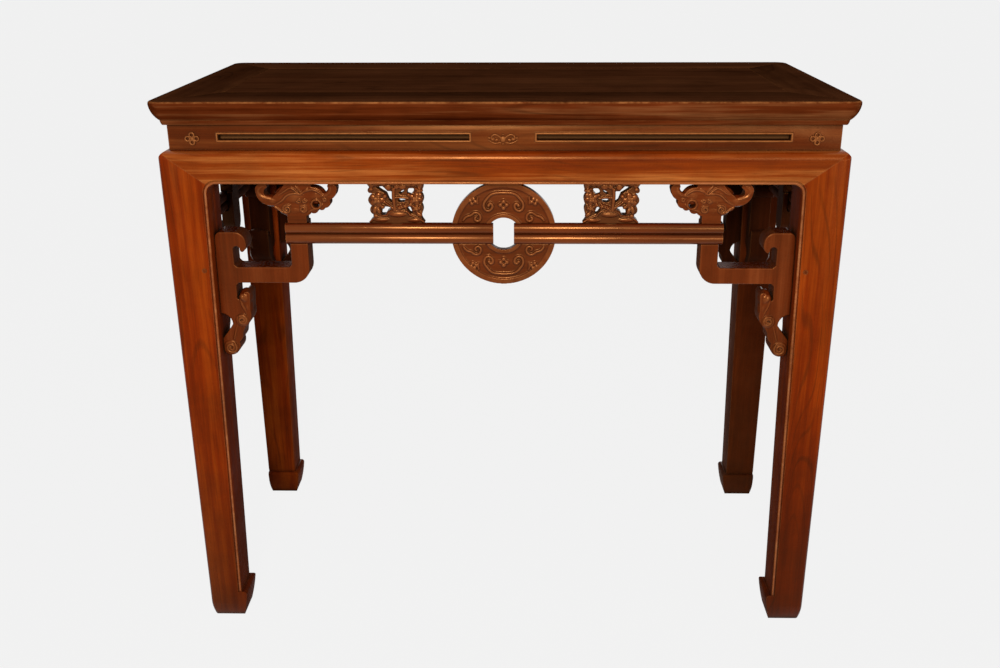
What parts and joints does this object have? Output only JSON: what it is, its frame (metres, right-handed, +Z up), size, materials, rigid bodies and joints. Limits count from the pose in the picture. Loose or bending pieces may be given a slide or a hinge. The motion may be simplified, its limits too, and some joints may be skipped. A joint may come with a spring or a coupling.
{
  "type": "altar table",
  "caption": "Waisted wooden altar table with mitred floating-panel top, hoof feet, scroll brackets, moulded rails, pierced flower blocks and a central carved disc.",
  "frame": {"origin": "on the floor under the middle of the table", "axes": "+X to the right along the carved front, +Y from the front to the back, +Z up"},
  "size_m": [0.988, 0.488, 0.842],
  "materials": {
    "top_wood": "dark worn lacquer, satin",
    "frame_wood": "polished red-brown lacquer",
    "waist_wood": "polished red-brown lacquer",
    "carved_wood": "rubbed red-brown lacquer",
    "batten_wood": "unpolished, darkened",
    "pin_wood": "dark end grain"
  },
  "bodies": {
    "root": {"apron_back": "frame_wood", "apron_front": "frame_wood", "apron_left": "frame_wood", "apron_right": "frame_wood", "back_bracket_left": "carved_wood", "back_bracket_right": "carved_wood", "bracket_pins": "pin_wood", "flower_block_left": "carved_wood", "flower_block_right": "carved_wood", "front_bracket_left": "carved_wood", "front_bracket_right": "carved_wood", "front_disc": "carved_wood", "front_rail_left": "carved_wood", "front_rail_right": "carved_wood", "leg_back_left": "frame_wood", "leg_back_right": "frame_wood", "leg_front_left": "frame_wood", "leg_front_right": "frame_wood", "ruyi_head_left": "carved_wood", "ruyi_head_right": "carved_wood", "ruyi_strut_left": "carved_wood", "ruyi_strut_right": "carved_wood", "side_bracket_back_left": "carved_wood", "side_bracket_back_right": "carved_wood", "side_bracket_front_left": "carved_wood", "side_bracket_front_right": "carved_wood", "side_rail_left": "carved_wood", "side_rail_right": "carved_wood", "top_batten_left": "batten_wood", "top_batten_middle": "batten_wood", "top_batten_right": "batten_wood", "top_end_left": "top_wood", "top_end_right": "top_wood", "top_panel": "top_wood", "top_rail_back": "top_wood", "top_rail_front": "top_wood", "waist_back": "waist_wood", "waist_front": "waist_wood", "waist_left": "waist_wood", "waist_right": "waist_wood"}
  },
  "joints": []
}
